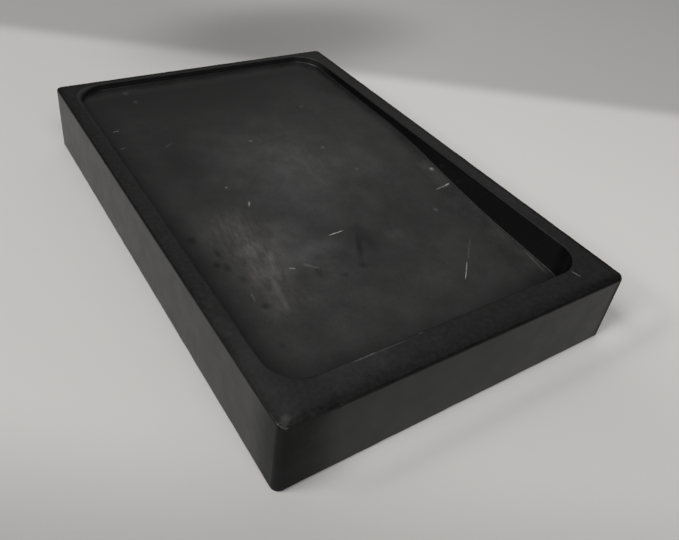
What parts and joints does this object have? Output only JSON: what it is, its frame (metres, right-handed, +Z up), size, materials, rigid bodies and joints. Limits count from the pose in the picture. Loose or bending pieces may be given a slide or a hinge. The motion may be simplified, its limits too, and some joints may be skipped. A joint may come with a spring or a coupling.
{
  "type": "ink stone",
  "caption": "Rectangular slate ink stone cut from one block, with a narrow rim, a nearly level grinding hall and a smooth slope down to a deeper ink pool.",
  "frame": {"origin": "centre of the flat base, on the surface that the stone rests on", "axes": "+Z up out of the mouth, +Y along the stone from the ink pool to the grinding hall, +X across it to the right as seen from the pool end"},
  "size_m": [0.1818, 0.2728, 0.038],
  "materials": {
    "slate": "satin black slate, finely ground, with a thin grey film of dried ink on the floor"
  },
  "bodies": {
    "root": {"ink_stone": "slate"}
  },
  "joints": []
}
